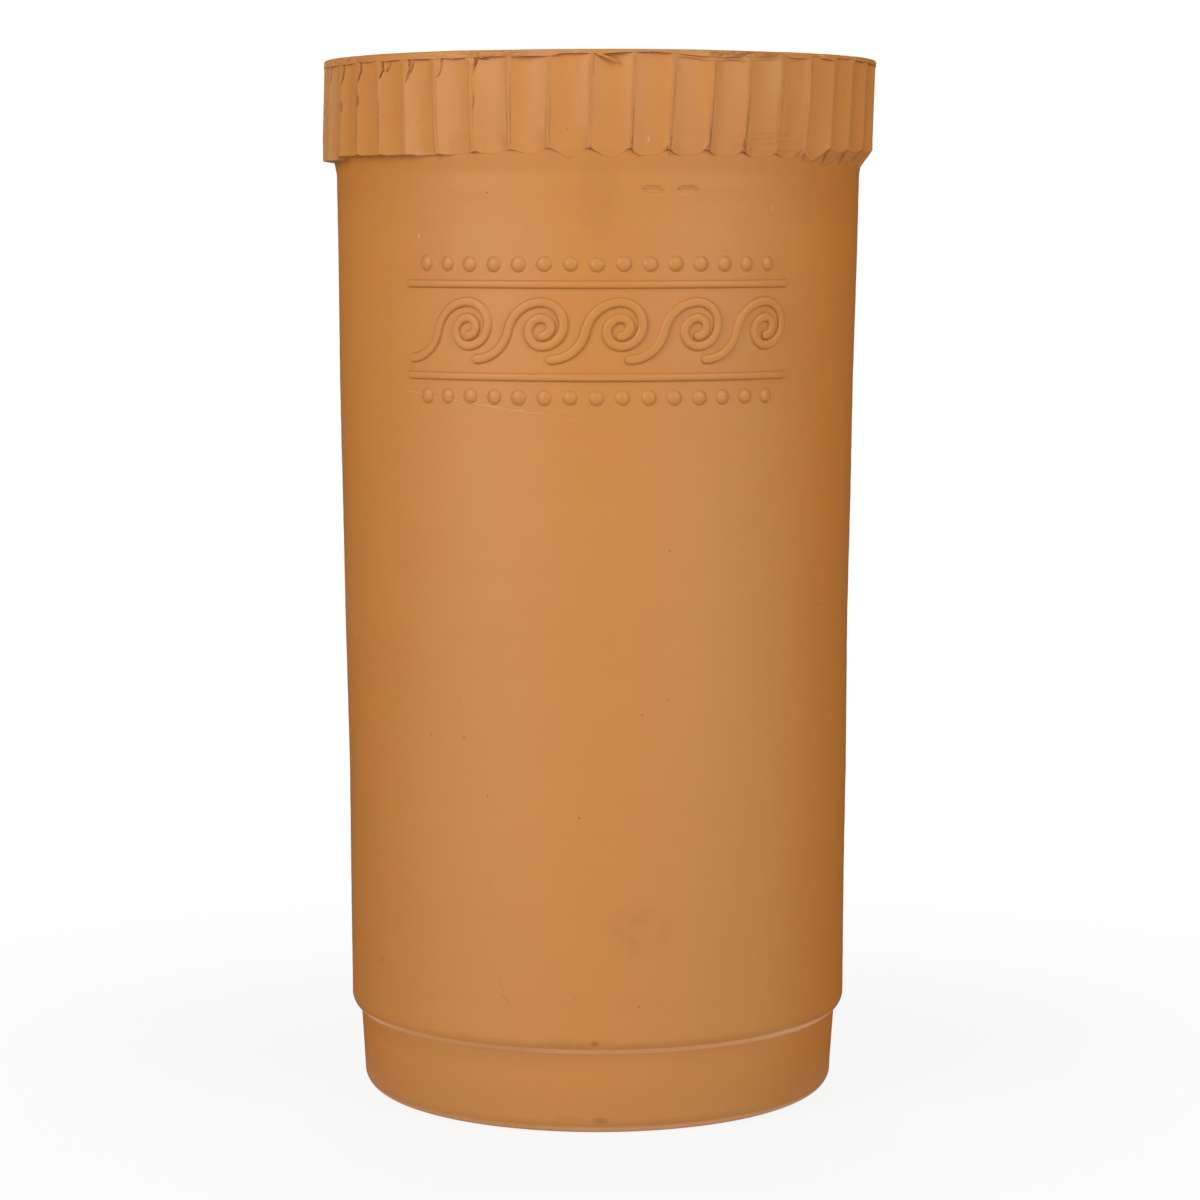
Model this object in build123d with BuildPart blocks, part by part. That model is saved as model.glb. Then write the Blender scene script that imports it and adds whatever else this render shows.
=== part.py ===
from build123d import *
import math
import os

# Terracotta bottle cooler: a round open well on a stepped foot, with a fluted collar round its rim, a thin
# lip on top and a raised ornament of running waves on the front. A bottle of water stands in the well.
# Millimetres. The origin is the centre of the base, +Z is up and the ornament faces -Y.

# Wall and well
total_height = 250.0
body_diameter = 121.2  # outside, just above the shoulder
body_flare = 2.5  # how much further from the axis the wall stands under the collar
body_bow = 0.4  # how far the middle of the wall lies inside a straight taper
wall_thickness = 9.0
shoulder_height = 3.5  # the rounded edge above the step

# Foot
step_height = 19.7
step_depth = 2.2  # how far the foot stands back from the wall
foot_batter = 0.9  # how much the foot draws in towards the table
base_edge_radius = 4.3
rest_ring_width = 9.0
base_recess = 1.5
floor_thickness = 8.5
well_corner_radius = 6.0

# Joints of the clay pieces: a spigot on the foot inside the wall, and a film of slip between round faces
spigot_height = 5.0
slip_film = 0.1

# Collar and lip
lip_thickness = 2.0
lip_edge_radius = 0.6
collar_height = 22.0
collar_web = 2.2  # the clay behind the flutes
collar_bevel_height = 3.2
cove_height = 4.0  # the small flare of the wall that carries the collar
cove_reach = 0.7
flute_count = 44
flute_depth = 1.4
ridge_width = 1.0
first_ridge_angle = -1.6  # degrees round from the front, towards +X

# Ornament on the front
ornament_drop = 39.0  # of its middle, below the collar
relief_depth = 0.6
wave_count = 5
wave_pitch = 18.0
wave_rise = 13.0
wave_run = 16.0  # from the foot of a wave to below its crest
wave_stroke = 2.0
curl_radius = 5.0  # of the first half turn, from the crest
curl_shrink = 0.64  # each further half turn against the one before it
curl_half_turns = 3
fillet_stroke = 1.6
fillet_gap = 4.0  # from the waves to the fillets above and below them
bead_diameter = 3.2
bead_pitch = 6.0
bead_gap = 4.6  # from a fillet to its row of beads

# Worked out from the sizes above
body_radius = body_diameter / 2
wall_top_radius = body_radius + body_flare
shoulder_top = step_height + shoulder_height
lip_underside = total_height - lip_thickness
collar_underside = lip_underside - collar_height
cove_foot = collar_underside - cove_height
wall_middle = (shoulder_top + cove_foot) / 2
wall_middle_radius = (body_radius + wall_top_radius) / 2 - body_bow
foot_top_radius = body_radius - step_depth
foot_base_radius = foot_top_radius - foot_batter
well_radius = body_radius - wall_thickness
well_mouth_radius = wall_top_radius - wall_thickness
well_floor = base_recess + floor_thickness
spigot_radius = (well_radius + foot_top_radius) / 2
collar_radius = wall_top_radius + collar_web + flute_depth

# Flutes: round grooves whose edges leave a ridge between neighbours
flute_half_angle = math.pi / flute_count - ridge_width / (2 * collar_radius)
flute_half_chord = collar_radius * math.sin(flute_half_angle)
flute_sagitta = flute_depth - collar_radius * (1 - math.cos(flute_half_angle))
flute_radius = (flute_half_chord**2 + flute_sagitta**2) / (2 * flute_sagitta)
flute_axis_radius = collar_radius - flute_depth + flute_radius
first_flute_angle = first_ridge_angle - 90 + 180 / flute_count

# Ornament: rows measured round the wall from the front
ornament_height = collar_underside - ornament_drop
ornament_radius = wall_middle_radius + (wall_top_radius - wall_middle_radius) * (
    (ornament_height - wall_middle) / (cove_foot - wall_middle)
)
ornament_length = (wave_count - 1) * wave_pitch + wave_run + curl_radius + wave_stroke
first_crest = wave_run + (wave_stroke - ornament_length) / 2
fillet_offset = wave_rise / 2 + fillet_gap
bead_offset = fillet_offset + bead_gap
bead_count = int(ornament_length / bead_pitch)
bead_ball_radius = ((bead_diameter / 2) ** 2 + relief_depth**2) / (2 * relief_depth)


def outward(along):
    """Direction straight out of the wall at a distance round it from the front."""
    turn = along / ornament_radius
    return Vector(math.sin(turn), -math.cos(turn), 0)


def wall_plane(along, height, stand_off):
    """Plane that faces out of the wall, its x axis to the right and its y axis up."""
    face = outward(along)
    return Plane(
        origin=face * (ornament_radius + stand_off) + Vector(0, 0, height),
        x_dir=Vector(0, 0, 1).cross(face),
        z_dir=face,
    )


def wall_line(stand_off):
    """The wall's outline, from the shoulder to the cove, set off from its outside."""
    return Polyline(
        (body_radius + stand_off, shoulder_top),
        (wall_middle_radius + stand_off, wall_middle),
        (wall_top_radius + stand_off, cove_foot),
    )


os.makedirs("parts", exist_ok=True)

# Foot with the floor of the well, turned in one piece
with BuildPart() as foot_cup:
    with BuildSketch(Plane.XZ):
        with BuildLine():
            rest_outer = (foot_base_radius - base_edge_radius, 0)
            rest_inner = (rest_outer[0] - rest_ring_width, 0)
            recess_edge = (rest_inner[0] - base_recess, base_recess)
            edge_top = (foot_base_radius, base_edge_radius)
            Polyline((0, well_floor), (0, base_recess), recess_edge, rest_inner, rest_outer)
            TangentArc(rest_outer, edge_top, tangent=(1, 0))
            Polyline(
                edge_top,
                (foot_top_radius, step_height),
                (spigot_radius, step_height),
                (spigot_radius, step_height + spigot_height),
                (well_radius, step_height + spigot_height),
                (well_radius, well_floor + well_corner_radius),
            )
            TangentArc(
                (well_radius, well_floor + well_corner_radius),
                (well_radius - well_corner_radius, well_floor),
                tangent=(0, -1),
            )
            Line((well_radius - well_corner_radius, well_floor), (0, well_floor))
        make_face()
    revolve(axis=Axis.Z)

# Wall of the well, open at both ends, rebated over the foot's spigot
with BuildPart() as wall_tube:
    with BuildSketch(Plane.XZ):
        with BuildLine():
            rebate_radius = spigot_radius + slip_film
            rebate_top = step_height + spigot_height
            Polyline((rebate_radius, step_height), (foot_top_radius, step_height))
            TangentArc((body_radius, shoulder_top), (foot_top_radius, step_height), tangent=(0, -1))
            wall_line(0)
            cove_lip = (wall_top_radius + cove_reach, collar_underside)
            TangentArc((wall_top_radius, cove_foot), cove_lip, tangent=(0, 1))
            Polyline(
                cove_lip,
                (wall_top_radius, collar_underside),
                (wall_top_radius, lip_underside),
                (well_mouth_radius, lip_underside),
                (well_mouth_radius, cove_foot),
                (wall_middle_radius - wall_thickness, wall_middle),
                (well_radius, rebate_top),
                (rebate_radius, rebate_top),
                (rebate_radius, step_height),
            )
        make_face()
    revolve(axis=Axis.Z)

# Collar: a ring on the wall's cove, bevelled underneath, with upright flutes all round
with BuildPart() as fluted_collar:
    with BuildSketch(Plane.XZ):
        with BuildLine():
            Polyline(
                (wall_top_radius + slip_film, collar_underside),
                (wall_top_radius + cove_reach, collar_underside),
                (collar_radius, collar_underside + collar_bevel_height),
                (collar_radius, lip_underside),
                (wall_top_radius + slip_film, lip_underside),
                close=True,
            )
        make_face()
    revolve(axis=Axis.Z)
    with BuildSketch(Plane.XY.offset(collar_underside)):
        with PolarLocations(flute_axis_radius, flute_count, start_angle=first_flute_angle):
            Circle(flute_radius)
    extrude(amount=collar_height, mode=Mode.SUBTRACT)

# Lip: a flat ring that caps the wall and the collar
with BuildPart() as rim_lip:
    with BuildSketch(Plane.XY.offset(lip_underside)):
        Circle(collar_radius)
        Circle(well_mouth_radius, mode=Mode.SUBTRACT)
    extrude(amount=lip_thickness)
    fillet(rim_lip.faces().sort_by(Axis.Z)[-1].edges(), radius=lip_edge_radius)

# Skin of the wall that the ornament is cut from, so that it follows the wall's flare
with BuildPart() as ornament_skin:
    with BuildSketch(Plane.XZ):
        with BuildLine():
            inner_line = wall_line(slip_film)
            outer_line = wall_line(slip_film + relief_depth)
            Line(inner_line @ 0, outer_line @ 0)
            Line(inner_line @ 1, outer_line @ 1)
        make_face()
    revolve(axis=Axis.Z)

# Running waves: each rises from its foot, turns over at the crest and curls into its eye
with BuildPart() as relief_waves:
    for wave in range(wave_count):
        with BuildSketch(wall_plane(first_crest + wave * wave_pitch, ornament_height, -wall_thickness / 2)):
            with BuildLine():
                crest = Vector(0, wave_rise / 2)
                wave_foot = Vector(-wave_run, -wave_rise / 2)
                wave_back = (crest + wave_foot) / 2
                TangentArc(wave_foot, wave_back, tangent=(1, 0))
                TangentArc(crest, wave_back, tangent=(-1, 0))
                eye = crest
                for turn in range(curl_half_turns):
                    side = (-1) ** turn
                    turn_start = eye
                    eye = turn_start - Vector(0, side * 2 * curl_radius * curl_shrink**turn)
                    TangentArc(turn_start, eye, tangent=(side, 0))
            trace(line_width=wave_stroke)
            with Locations(wave_foot, eye):
                Circle(wave_stroke / 2)
    extrude(amount=wall_thickness)
    add(ornament_skin.part, mode=Mode.INTERSECT)

# Two straight fillets, above and below the waves
with BuildPart() as relief_fillets:
    left_end = outward(-ornament_length / 2)
    with BuildSketch(Plane(origin=(0, 0, 0), x_dir=left_end, z_dir=left_end.cross(Vector(0, 0, 1)))):
        for side in (-1, 1):
            with Locations((ornament_radius, ornament_height + side * fillet_offset)):
                Rectangle(wall_thickness, fillet_stroke)
    revolve(axis=Axis.Z, revolution_arc=math.degrees(ornament_length / ornament_radius))
    add(ornament_skin.part, mode=Mode.INTERSECT)

# Two rows of beads, outside the fillets
with BuildPart() as relief_beads:
    for side in (-1, 1):
        for bead in range(bead_count):
            along = (bead - (bead_count - 1) / 2) * bead_pitch
            height = ornament_height + side * bead_offset
            with Locations(wall_plane(along, height, slip_film + relief_depth - bead_ball_radius)):
                Sphere(bead_ball_radius)
    add(ornament_skin.part, mode=Mode.INTERSECT)

foot_cup.part.label = "foot_cup"
export_step(foot_cup.part, "parts/foot_cup.step")
wall_tube.part.label = "wall_tube"
export_step(wall_tube.part, "parts/wall_tube.step")
fluted_collar.part.label = "fluted_collar"
export_step(fluted_collar.part, "parts/fluted_collar.step")
rim_lip.part.label = "rim_lip"
export_step(rim_lip.part, "parts/rim_lip.step")
relief_waves.part.label = "relief_waves"
export_step(relief_waves.part, "parts/relief_waves.step")
relief_fillets.part.label = "relief_fillets"
export_step(relief_fillets.part, "parts/relief_fillets.step")
relief_beads.part.label = "relief_beads"
export_step(relief_beads.part, "parts/relief_beads.step")
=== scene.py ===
import math
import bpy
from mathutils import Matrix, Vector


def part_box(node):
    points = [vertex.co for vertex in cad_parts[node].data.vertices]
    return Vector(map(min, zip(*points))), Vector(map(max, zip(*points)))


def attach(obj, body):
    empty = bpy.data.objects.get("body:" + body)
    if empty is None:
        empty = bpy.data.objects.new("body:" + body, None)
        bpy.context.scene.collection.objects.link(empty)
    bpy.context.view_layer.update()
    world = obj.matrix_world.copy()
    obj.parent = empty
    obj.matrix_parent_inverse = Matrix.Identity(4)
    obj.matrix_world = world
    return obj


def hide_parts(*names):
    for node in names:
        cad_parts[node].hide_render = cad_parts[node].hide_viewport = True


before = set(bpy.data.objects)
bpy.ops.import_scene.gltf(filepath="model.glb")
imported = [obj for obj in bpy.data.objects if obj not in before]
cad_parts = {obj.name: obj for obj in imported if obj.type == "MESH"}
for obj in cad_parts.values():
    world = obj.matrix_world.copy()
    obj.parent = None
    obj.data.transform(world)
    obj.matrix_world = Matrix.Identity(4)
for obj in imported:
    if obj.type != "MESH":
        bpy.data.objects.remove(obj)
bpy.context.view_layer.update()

from types import SimpleNamespace

import bpy
import numpy as np

# Looks of the terracotta bottle cooler: a hand-finished wall and foot, a collar with torn flutes, a thin
# uneven lip, and the raised waves, fillets and beads of its ornament. Shapes are worked out in millimetres
# and degrees, with angles measured round from the front, positive to the right, and become metres in
# add_piece.

MM = 0.001


# Heights and radii that the frame gives
def node_corners(node):
    low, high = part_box(node)
    return [value / MM for value in low], [value / MM for value in high]


step_height = node_corners("wall_tube")[0][2]
spigot_top = node_corners("foot_cup")[1][2]
lip_underside = node_corners("rim_lip")[0][2]
total_height = node_corners("rim_lip")[1][2]
frame_collar_radius = node_corners("rim_lip")[1][0]
frame_foot_radius = node_corners("foot_cup")[1][0]
ornament_middle = (node_corners("relief_waves")[0][2] + node_corners("relief_waves")[1][2]) / 2

# Wall and well
body_radius = 60.55
wall_flare = 2.55
flare_power = 1.47
shoulder_top = 23.2
shoulder_radius = 3.75
shoulder_bend = 57.0  # degrees, where the fillet above the foot takes over
cove_foot = 222.0
cove_top = 226.0
cove_reach = 0.84
behind_collar = 229.4  # how far up the wall's face goes on behind the collar's lower edge
wall_thickness = 9.0
well_radius = 51.6
spigot_radius = 54.9
slip_film = 0.1
wall_front = 52  # degrees to each side of the front where the wall has more points
throwing_ring_pitch = 6.5
throwing_ring_depth = 0.22
front_flare_reach = 0.55
wall_swell_depth = 0.10
wall_ring_depth = 0.03
# where the painted reflection of the pale floor runs along the seam
seam_line_height = 21.15
seam_line_width = 0.45

# Foot
foot_batter = 0.9
base_edge_radius = 4.3
rest_ring_width = 9.0
base_recess = 1.5
well_floor = 10.0
well_corner_radius = 6.0
middle_radius = 1.5  # of the innermost ring of points
foot_swell_depth = 0.08
turning_ring_pitch = 4.6
floor_ring_depth = 0.18
recess_ring_depth = 0.10
base_line_low = 1.8  # the dark line along the base edge, and the darker band above it
base_line_high = 3.1
base_darkening_top = 15

# The fillet between shoulder and foot, tangent to both
fillet_top = shoulder_top - shoulder_radius * math.sin(math.radians(shoulder_bend))
fillet_top_radius = body_radius - shoulder_radius * (1 - math.cos(math.radians(shoulder_bend)))
fillet_radius = (fillet_top_radius - frame_foot_radius) / (1 - math.cos(math.radians(shoulder_bend)))
fillet_foot = fillet_top - fillet_radius * math.sin(math.radians(shoulder_bend))

# Collar and lip
flute_count = 44
first_ridge = -1.6
flute_depth = 1.0
flute_roundness = 0.93  # a section of 1 is a parabola, a smaller one is fuller
side_shallowing = 0.42  # share of the depth that flutes lose towards the sides
flute_foot = 226.4  # rough height of the collar's lower edge, and of the flutes above it
flute_height = 22
left_run_out = 1.10  # how much deeper flutes get at their foot, left and right of the front
right_run_out = 0.40
left_tongue_depth = 0.48  # how far the lower end of a tongue goes in, left and right of the front
right_tongue_depth = 0.35
far_tongue_depth = 0.30  # more of it further to the right
slit_depth = 0.32
ledge_height = 0.75
ledge_filling = 0.55
front_flutes = 12  # flutes to each side of the front, with more points and no torn clay from draws
ridge_radius = frame_collar_radius - 0.35
collar_back_radius = 63.2
lip_overhang = 0.1
lip_edge_radius = 0.5
lip_top_room = 0.02
lip_sway = 0.08
back_bites = 16
lip_columns = 1100  # points round the lip
front_columns = 50  # points across a flute at the front, and at the back
back_columns = 26
edge_columns = 14  # of these, the points across a ridge and the torn clay beside it

# Ornament
ornament_radius = 62.5
wave_count = 5
wave_pitch = 18.0
wave_rise = 13.0
wave_run = 16.0
wave_stroke = 2.0
curl_radius = 5.0
curl_shrink = 0.64
curl_half_turns = 3
fillet_stroke = 1.6
fillet_offset = 10.5
bead_diameter = 3.2
bead_pitch = 6.0
bead_offset = 15.1
relief_rise = 0.62
relief_sink = 0.25
raised_sharp_angle = 60  # degrees between faces from which an edge of raised clay is sharp
ornament_length = (wave_count - 1) * wave_pitch + wave_run + curl_radius + wave_stroke
bead_count = int(ornament_length / bead_pitch)


# Shaping helpers
swell_waves = 14  # waves that add up to one unevenness


def smooth_step(low, high, values):
    """Goes smoothly from 0 at low to 1 at high, whichever of them is the greater."""
    share = np.clip((values - low) / (high - low), 0, 1)
    return share * share * (3 - 2 * share)


def band(values, first, full_from, full_to, last):
    """1 from full_from to full_to, falling smoothly to 0 at first and at last."""
    return smooth_step(first, full_from, values) * smooth_step(last, full_to, values)


def bell(away, half_width):
    """1 in the middle of a soft mark, falling off on both sides."""
    return np.exp(-((away / half_width) ** 2))


def unevenness(turn, height, seed, most_lobes, wave_height):
    """Smooth seeded waves over the clay, between about -1 and 1, that meet after a full turn."""
    draw = np.random.default_rng(seed)
    total = 0
    for _ in range(swell_waves):
        lobes = draw.integers(-most_lobes, most_lobes + 1)
        pace = draw.normal() * 2 * math.pi / wave_height
        start = draw.uniform(0, 2 * math.pi)
        total = total + np.cos(np.radians(turn) * lobes + height * pace + start)
    return total / math.sqrt(2 * swell_waves)


def lean(height):
    """How far the middle of the vessel lies to the right of the axis at a height: it isn't quite straight."""
    heights = (0, 80, 125, 175, 220, 231, 250)
    shifts = (-0.4, -0.4, -0.62, -0.62, -0.3, -0.35, 0.24)
    return np.interp(height, heights, shifts)


def from_front(turn):
    """An angle as -180 to 180 degrees from the front."""
    return (turn + 180) % 360 - 180


def turned(turn, radius, height):
    """Points at angles round from the front, radii and heights, on the leaning axis."""
    angle = np.radians(turn)
    x = lean(height) + radius * np.sin(angle)
    y = -radius * np.cos(angle)
    return np.stack(np.broadcast_arrays(x, y, height), axis=-1)


def graded(*stretches):
    """Values along stretches given as (end, step) after a first (start,)."""
    values = [stretches[0][0]]
    for end, step in stretches[1:]:
        count = max(1, round(abs(end - values[-1]) / step))
        values.extend(np.linspace(values[-1], end, count + 1)[1:])
    return np.array(values)


def skin(rings, meets=False):
    """Points and faces of a closed skin over rings of points. The last ring meets the first,
    or else a point in the middle of each end ring closes it."""
    count, columns = rings.shape[:2]
    points = rings.reshape(-1, 3)
    row = np.arange(count if meets else count - 1)[:, None] * columns
    column = np.arange(columns)[None, :]
    right = (column + 1) % columns
    above = (row + columns) % (count * columns)
    corners = [row + column, row + right, above + right, above + column]
    faces = np.stack(corners, axis=-1).reshape(-1, 4).tolist()
    if not meets:
        low = len(points)
        high = low + 1
        points = np.vstack([points, rings[0].mean(axis=0), rings[-1].mean(axis=0)])
        last = (count - 1) * columns
        for near in range(columns):
            far = (near + 1) % columns
            faces.append([low, far, near])
            faces.append([high, last + near, last + far])
    return points, faces


def joined(skins):
    """Several closed skins as one set of points and faces."""
    points = []
    faces = []
    start = 0
    for part_points, part_faces in skins:
        points.append(part_points)
        faces.extend([[corner + start for corner in face] for face in part_faces])
        start += len(part_points)
    return np.vstack(points), faces


def outline_of(*stretches):
    """Radii and heights along an outline given in stretches of (radius, height) points, and for each
    stretch a mark that is 1 on it."""
    counts = [len(stretch) for stretch in stretches]
    points = np.array([point for stretch in stretches for point in stretch])
    on_stretch = np.repeat(np.eye(len(counts)), counts, axis=0)
    return points[:, :1], points[:, 1:], *(on_stretch[:, [index]] for index in range(len(counts)))


def put_in_scene(name, data):
    thing = bpy.data.objects.new(name, data)
    bpy.context.scene.collection.objects.link(thing)
    return thing


def add_piece(name, skin_parts, material, nodes, sharp_angle, marks):
    """Makes a mesh piece, with named marks from 0 to 1 kept on its points, and sets it in the frame."""
    points, faces = skin_parts
    mesh = bpy.data.meshes.new(name)
    mesh.from_pydata((points * MM).tolist(), [], faces)
    mesh.shade_smooth()
    mesh.set_sharp_from_angle(angle=math.radians(sharp_angle))
    for mark, values in marks.items():
        padded_values = np.zeros(len(points), dtype=np.float32)
        padded_values[: values.size] = np.clip(values, 0, 1).ravel()
        layer = mesh.attributes.new(mark, "FLOAT", "POINT")
        layer.data.foreach_set("value", padded_values)
    mesh.materials.append(material)
    piece = put_in_scene(name, mesh)
    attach(piece, "root")
    if nodes:
        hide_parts(*nodes)


def add_turned(name, rings, material, node, marks, meets=True, sharp_angle=38):
    """Makes a piece that goes all the way round, in the place of a node, from its rings of points."""
    spread = {mark: np.broadcast_to(values, rings.shape[:2]) for mark, values in marks.items()}
    add_piece(name, skin(rings, meets), material, [node], sharp_angle, spread)


# Shader nodes
class Wire:
    """An output of a shader node. Arithmetic on it adds Math nodes to its tree."""

    def __init__(self, bench, socket):
        self.bench = bench
        self.socket = socket

    def math(self, operation, *values):
        return self.bench.add("ShaderNodeMath", {"operation": operation}, dict(enumerate(values)))

    def __add__(self, other):
        return self.math("ADD", self, other)

    __radd__ = __add__

    def __sub__(self, other):
        return self.math("SUBTRACT", self, other)

    def __rsub__(self, other):
        return self.math("SUBTRACT", other, self)

    def __mul__(self, other):
        return self.math("MULTIPLY", self, other)

    __rmul__ = __mul__

    def __truediv__(self, other):
        return self.math("DIVIDE", self, other)

    def __rtruediv__(self, other):
        return self.math("DIVIDE", other, self)

    def __pow__(self, other):
        return self.math("POWER", self, other)

    def __abs__(self):
        return self.math("ABSOLUTE", self)

    def other(self, name):
        """Another output of the same node."""
        return Wire(self.bench, self.socket.node.outputs[name])

    def step(self, low, high):
        """Goes smoothly from 0 at low to 1 at high, whichever of them is the greater."""
        rise = {"From Min": min(low, high), "From Max": max(low, high)}
        ends = {"To Min": 0.0, "To Max": 1.0} if low < high else {"To Min": 1.0, "To Max": 0.0}
        settings = {"interpolation_type": "SMOOTHSTEP"}
        return self.bench.add("ShaderNodeMapRange", settings, {"Value": self, **rise, **ends})


class Bench:
    """One node tree and the one way to add a node to it."""

    def __init__(self, tree):
        self.tree = tree
        tree.nodes.clear()

    def add(self, kind, settings=None, sockets=None, output=0):
        """Adds a node: its settings first, then the values or wires of its sockets."""
        node = self.tree.nodes.new(kind)
        for key, value in (settings or {}).items():
            setattr(node, key, value)
        for key, value in (sockets or {}).items():
            if isinstance(value, Wire):
                self.tree.links.new(value.socket, node.inputs[key])
            else:
                node.inputs[key].default_value = value
        return Wire(self, node.outputs[output]) if node.outputs else None

    def mix(self, share, first, second):
        """A colour between two colours."""
        sockets = {0: share, 6: first, 7: second}
        return self.add("ShaderNodeMix", {"data_type": "RGBA"}, sockets, output=2)

    def noise(self, place, size, stretch=(1, 1, 1), detail=3.0, roughness=0.5):
        """Noise from 0 to 1 whose patches are about size mm across, drawn out by stretch."""
        scale = tuple(1 / (size * part) for part in stretch)
        scaled = self.add("ShaderNodeVectorMath", {"operation": "MULTIPLY"}, {0: place, 1: scale})
        sockets = {"Vector": scaled, "Scale": 1.0, "Detail": detail, "Roughness": roughness}
        return self.add("ShaderNodeTexNoise", {"noise_dimensions": "3D"}, sockets)

    def mark(self, name):
        """A value kept on the mesh's points."""
        settings = {"attribute_name": name, "attribute_type": "GEOMETRY"}
        return self.add("ShaderNodeAttribute", settings, output=2)


# Clay
clay_tan = (0.575, 0.224, 0.043, 1)
clay_rose = (0.570, 0.209, 0.048, 1)
clay_ochre = (0.565, 0.228, 0.036, 1)
clay_deep = (0.482, 0.177, 0.033, 1)
torn_deep = (0.300, 0.112, 0.036, 1)
chip_red = (0.250, 0.060, 0.028, 1)
clay_pale = (0.640, 0.330, 0.135, 1)
clay_scratch = (0.680, 0.380, 0.180, 1)
# painted reflection of the pale floor, also lightening the shade, along the seam and base edge
floor_reflection_paint = (0.920, 0.490, 0.220, 1)
# painted shade on both sides and under the collar on the left
side_shade_paint = (0.555, 0.185, 0.018, 1)
# painted sheen low in front
front_sheen_paint = (0.575, 0.242, 0.056, 1)
# painted light on the collar's right edge
collar_edge_light_paint = (0.660, 0.225, 0.034, 1)
burnt_grit = (0.150, 0.062, 0.026, 1)
lime_grit = (0.800, 0.640, 0.460, 1)
# brown of real dirt, also used for painted shade in cuts, slits, creases and under edges
dirt_and_shade_brown = (0.255, 0.088, 0.016, 1)
clay_ior = 1.56


def clay_places(bench):
    """The place on the vessel in mm, its height, and the angle round from the front in degrees."""
    metres = bench.add("ShaderNodeTexCoord", output=3)
    place = bench.add("ShaderNodeVectorMath", {"operation": "SCALE"}, {0: metres, "Scale": 1 / MM})
    across = bench.add("ShaderNodeSeparateXYZ", None, {0: place})
    turn = across.math("ARCTAN2", across, across.other("Y") * -1) * math.degrees(1)
    return place, across.other("Z"), turn


def wheel_place(bench, place):
    """The place with the distance from the axis added to its height, so that level faces get rings too."""
    flat = bench.add("ShaderNodeVectorMath", {"operation": "MULTIPLY"}, {0: place, 1: (1, 1, 0)})
    out = bench.add("ShaderNodeVectorMath", {"operation": "LENGTH"}, {0: flat}, output=1)
    raised = bench.add("ShaderNodeCombineXYZ", None, {"Z": out})
    return bench.add("ShaderNodeVectorMath", {"operation": "ADD"}, {0: place, 1: raised})


def clay_ground(bench, place):
    """The clay's own colour: broad firing shades, hue patches and fine turning lines."""
    firing = bench.noise(place, 55, detail=2.0)
    hue = bench.noise(place, 16, (1, 1, 0.8), detail=3.0)
    lines = bench.noise(wheel_place(bench, place), 1.3, (60, 60, 1), detail=2.0, roughness=0.6)
    fine = bench.noise(place, 0.7, detail=2.0)
    colour = bench.mix(hue.step(0.35, 0.65), clay_rose, clay_ochre)
    colour = bench.mix(0.5, colour, clay_tan)
    colour = bench.mix(firing.step(0.30, 0.75) * 0.22, colour, clay_deep)
    colour = bench.mix(lines.step(0.45, 0.75) * 0.10, colour, clay_deep)
    colour = bench.mix(fine.step(0.52, 0.80) * 0.10, colour, clay_pale)
    return colour, lines, fine


def grit(bench, place, size, share, seed, edge, core):
    """1 on small round grains: one in each cell of about size mm, where a seeded draw keeps it. A grain
    fades from its core to its edge, given as shares of a cell."""
    start = (seed, seed * 0.7, seed * 0.3)
    offset = bench.add("ShaderNodeVectorMath", {"operation": "ADD"}, {0: place, 1: start})
    distance = bench.add("ShaderNodeTexVoronoi", None, {"Vector": offset, "Scale": 1 / size})
    draw = bench.add("ShaderNodeSeparateColor", None, {0: distance.other("Color")})
    return distance.step(edge, core) * draw.step(1 - share, 1 - share + 0.02)


def towards_side(turn, start, end):
    """Rises from start to end degrees on the way to one side, and falls again before the back."""
    return turn.step(start, end) * abs(turn).step(160, 100)


def soft_spot(turn, height, at_turn, at_height, half_turn, half_height):
    """1 in the middle of a round mark and 0 outside it."""
    across = (turn - at_turn) / half_turn
    up = (height - at_height) / half_height
    return (across * across + up * up).step(1.0, 0.0)


def scratch_line(turn, height, first, last, half_width):
    """1 along a straight scratch between two (angle, height) places."""
    run = last[0] - first[0]
    slope = (last[1] - first[1]) / run
    along = (turn - first[0]) / run
    off_line = abs(height - (turn - first[0]) * slope - first[1])
    inside = along.step(-0.02, 0.06) * along.step(1.02, 0.9)
    return off_line.step(half_width, half_width * 0.2) * inside


def dent_shade_lines(turn, height, tip):
    """1 along the painted shade lines of a pressed dent: two level ones, a dark tip on the left and an arc
    below.
    """
    right = turn - tip
    up = height - dent_height
    upper = scratch_line(right, up, (0.5, 0.78), (dent_width - 0.7, 0.67), 0.24)
    lower = scratch_line(right, up, (0, 0.13), (dent_width + 0.2, 0.07), 0.22)
    across = (right - dent_width / 2) / (dent_width * 0.44)
    down = (0.15 - up) / 0.95
    off_arc = abs((across * across + down * down) ** 0.5 - 1)
    arc = off_arc.step(0.35, 0.05) * down.step(0.05, 0.4)
    return upper + lower * 0.8 + arc * 0.5 + soft_spot(right, up, 0, 0.3, 0.55, 0.5) * 0.8


def finish_clay(bench, colour, roughness, bump_height):
    """The satin clay surface itself."""
    bump_sockets = {"Strength": 1.0, "Distance": MM, "Height": bump_height}
    bump = bench.add("ShaderNodeBump", None, bump_sockets)
    sockets = {"Base Color": colour, "Roughness": roughness, "Normal": bump, "IOR": clay_ior}
    clay = bench.add("ShaderNodeBsdfPrincipled", None, sockets)
    bench.add("ShaderNodeOutputMaterial", None, {"Surface": clay})


def new_material(name):
    material = bpy.data.materials.new(name)
    material.use_nodes = True
    return material, Bench(material.node_tree)


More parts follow.
